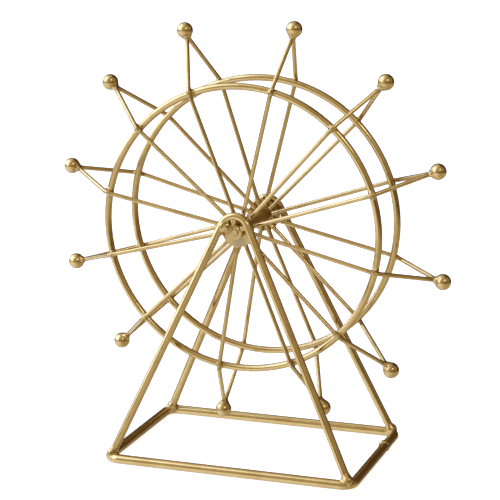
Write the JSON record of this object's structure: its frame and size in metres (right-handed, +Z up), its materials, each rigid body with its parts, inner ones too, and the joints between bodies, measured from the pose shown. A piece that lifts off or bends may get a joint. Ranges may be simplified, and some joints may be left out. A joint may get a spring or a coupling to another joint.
{
  "type": "wire ferris wheel ornament",
  "caption": "Desk ornament: a welded round-wire ferris wheel with ball-tipped spokes that turns freely between two wire A-frames on a rectangular wire base.",
  "frame": {"origin": "on the surface that the base stands on, midway between the base's four corners and right under the axle's middle", "axes": "+X along the front rail, to the right seen from the front; +Y along the axle, from front to rear; +Z up"},
  "size_m": [0.2093, 0.0888, 0.2259],
  "materials": {
    "base_wire": "champagne gold metallic paint, satin",
    "frame_wire": "champagne gold metallic paint, satin",
    "nuts": "champagne gold metallic paint, satin",
    "axle": "champagne gold metallic paint, satin",
    "hub": "champagne gold metallic paint, satin",
    "ring_wire": "champagne gold metallic paint, satin",
    "spoke_wire": "champagne gold metallic paint, satin",
    "tip_balls": "champagne gold metallic paint, satin"
  },
  "bodies": {
    "stand": {"base_loop": "base_wire", "front_frame": "frame_wire", "rear_frame": "frame_wire", "axle": "axle", "front_axle_nut": "nuts", "rear_axle_nut": "nuts"},
    "wheel": {"hub_barrel": "hub", "front_hub_disc": "hub", "rear_hub_disc": "hub", "front_ring": "ring_wire", "rear_ring": "ring_wire", "front_spoke_01": "spoke_wire", "front_spoke_02": "spoke_wire", "front_spoke_03": "spoke_wire", "front_spoke_04": "spoke_wire", "front_spoke_05": "spoke_wire", "front_spoke_06": "spoke_wire", "front_spoke_07": "spoke_wire", "front_spoke_08": "spoke_wire", "front_spoke_09": "spoke_wire", "front_spoke_10": "spoke_wire", "front_spoke_11": "spoke_wire", "front_spoke_12": "spoke_wire", "rear_spoke_01": "spoke_wire", "rear_spoke_02": "spoke_wire", "rear_spoke_03": "spoke_wire", "rear_spoke_04": "spoke_wire", "rear_spoke_05": "spoke_wire", "rear_spoke_06": "spoke_wire", "rear_spoke_07": "spoke_wire", "rear_spoke_08": "spoke_wire", "rear_spoke_09": "spoke_wire", "rear_spoke_10": "spoke_wire", "rear_spoke_11": "spoke_wire", "rear_spoke_12": "spoke_wire", "tip_ball_01": "tip_balls", "tip_ball_02": "tip_balls", "tip_ball_03": "tip_balls", "tip_ball_04": "tip_balls", "tip_ball_05": "tip_balls", "tip_ball_06": "tip_balls", "tip_ball_07": "tip_balls", "tip_ball_08": "tip_balls", "tip_ball_09": "tip_balls", "tip_ball_10": "tip_balls", "tip_ball_11": "tip_balls", "tip_ball_12": "tip_balls"}
  },
  "joints": [
    {"name": "wheel_spin", "type": "hinge", "parent": "stand", "child": "wheel", "pos_m": [0, 0, 0.1224], "axis": [0, 1, 0], "continuous": true}
  ]
}
